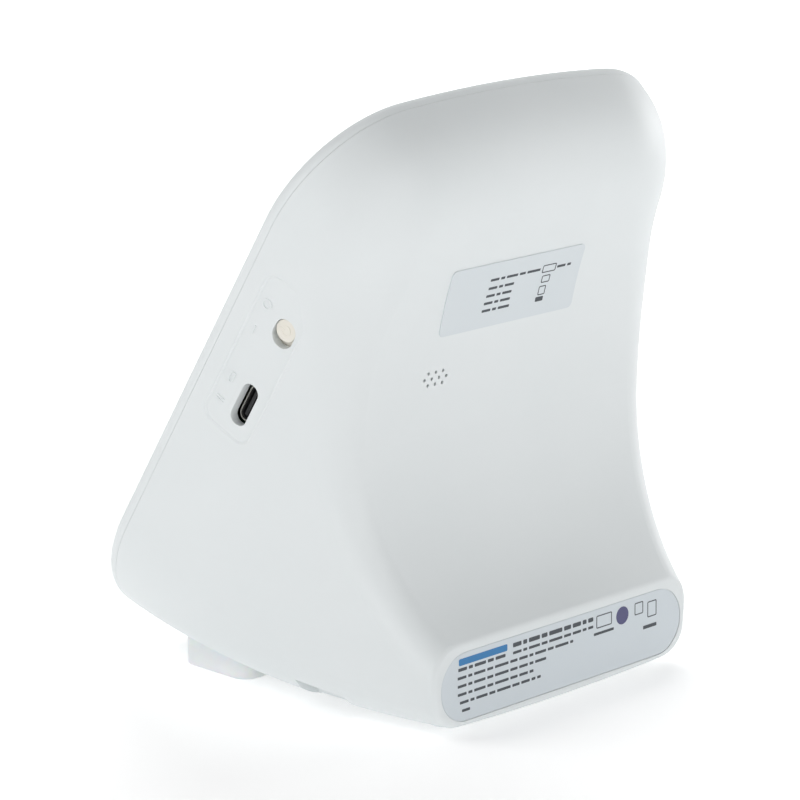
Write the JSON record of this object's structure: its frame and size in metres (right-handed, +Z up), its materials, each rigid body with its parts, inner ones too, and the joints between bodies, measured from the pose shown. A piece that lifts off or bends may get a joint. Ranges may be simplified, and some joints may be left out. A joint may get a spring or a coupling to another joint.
{
  "type": "desktop upper-arm blood pressure monitor",
  "caption": "Desk blood pressure monitor with leaning front display, buttons, side power slide, air socket, pump and battery bay under a hinged door.",
  "frame": {"origin": "on the surface it stands on, under the middle of the case's box", "axes": "+Z up; -Y towards the user, where the leaning display faces; +Y out of the hollow back; +X out of the side with the power slide and the USB-C port"},
  "size_m": [0.1108, 0.099, 0.1324],
  "materials": {
    "case_plastic": "fine matt moulded ABS",
    "window_plastic": "polished dark acrylic",
    "display_glass": "flat LCD glass",
    "start_button_plastic": "satin moulded ABS",
    "button_plastic": "satin moulded ABS",
    "switch_plastic": "moulded nylon",
    "circuit_board": "solder mask over glass fibre",
    "zinc_steel": "zinc plated",
    "chip_resin": "moulded epoxy",
    "connector_steel": "nickel plated",
    "knob_plastic": "smooth warm white",
    "speaker_steel": "black coated",
    "socket_plastic": "moulded POM",
    "seal_rubber": "black nitrile",
    "pump_plastic": "glass filled nylon",
    "motor_steel": "drawn steel can",
    "spring_steel": "nickel plated wire and sheet",
    "silicone": "translucent silicone",
    "tray_plastic": "moulded ABS",
    "cell_wrap": "plain printed sleeve",
    "label_film": "satin polyester film"
  },
  "bodies": {
    "case": {"front_frame": "case_plastic", "display_window": "window_plastic", "display_module": "display_glass", "button_switches": "switch_plastic", "main_board": "circuit_board", "board_screws": "zinc_steel", "board_chips": "chip_resin", "usb_socket": "connector_steel", "slide_switch_body": "switch_plastic", "pressure_sensor": "chip_resin", "rear_shell": "case_plastic", "case_screws": "zinc_steel", "speaker": "speaker_steel", "cuff_socket": "socket_plastic", "cuff_seal_ring": "seal_rubber", "pump_head": "pump_plastic", "pump_diaphragm": "seal_rubber", "pump_motor": "motor_steel", "pump_saddle": "seal_rubber", "deflate_valve": "motor_steel", "valve_spring": "spring_steel", "air_manifold": "pump_plastic", "air_hoses": "silicone", "battery_tray": "tray_plastic", "battery_cells": "cell_wrap", "battery_contacts": "spring_steel", "contact_springs": "spring_steel", "front_feet": "silicone", "rear_feet": "silicone", "rating_label": "label_film", "lot_label": "label_film"},
    "start_key": {"start_button": "start_button_plastic"},
    "memory_key": {"memory_button": "button_plastic"},
    "set_key": {"set_button": "button_plastic"},
    "power_slide": {"power_slide_knob": "knob_plastic"},
    "door": {"battery_door": "case_plastic"},
    "crank": {"pump_crank": "motor_steel"},
    "plunger": {"valve_plunger": "zinc_steel"}
  },
  "joints": [
    {"name": "start_press", "type": "slide", "parent": "case", "child": "start_key", "axis": [0, 0.8329, -0.5534], "range_m": [0, 0.0006], "stiffness_N_per_m": 800, "springref_m": -0.0006},
    {"name": "memory_press", "type": "slide", "parent": "case", "child": "memory_key", "axis": [0, 0.8329, -0.5534], "range_m": [0, 0.0006], "stiffness_N_per_m": 800, "springref_m": -0.0006},
    {"name": "set_press", "type": "slide", "parent": "case", "child": "set_key", "axis": [0, 0.8329, -0.5534], "range_m": [0, 0.0006], "stiffness_N_per_m": 800, "springref_m": -0.0006},
    {"name": "power_slide_travel", "type": "slide", "parent": "case", "child": "power_slide", "axis": [0, -0.5534, -0.8329], "range_m": [0, 0.0014]},
    {"name": "door_hinge", "type": "hinge", "parent": "case", "child": "door", "pos_m": [-0.02825, 0.0095, 0.0005], "axis": [0, 1, 0], "range_deg": [0, 80]},
    {"name": "crank_spin", "type": "hinge", "parent": "case", "child": "crank", "pos_m": [-0.008, 0.0095, 0.0305], "axis": [1, 0, 0], "continuous": true},
    {"name": "valve_stroke", "type": "slide", "parent": "case", "child": "plunger", "axis": [0, 0, -1], "range_m": [0, 0.0008], "stiffness_N_per_m": 300, "springref_m": -0.0008, "deforming": ["valve_spring"]}
  ]
}
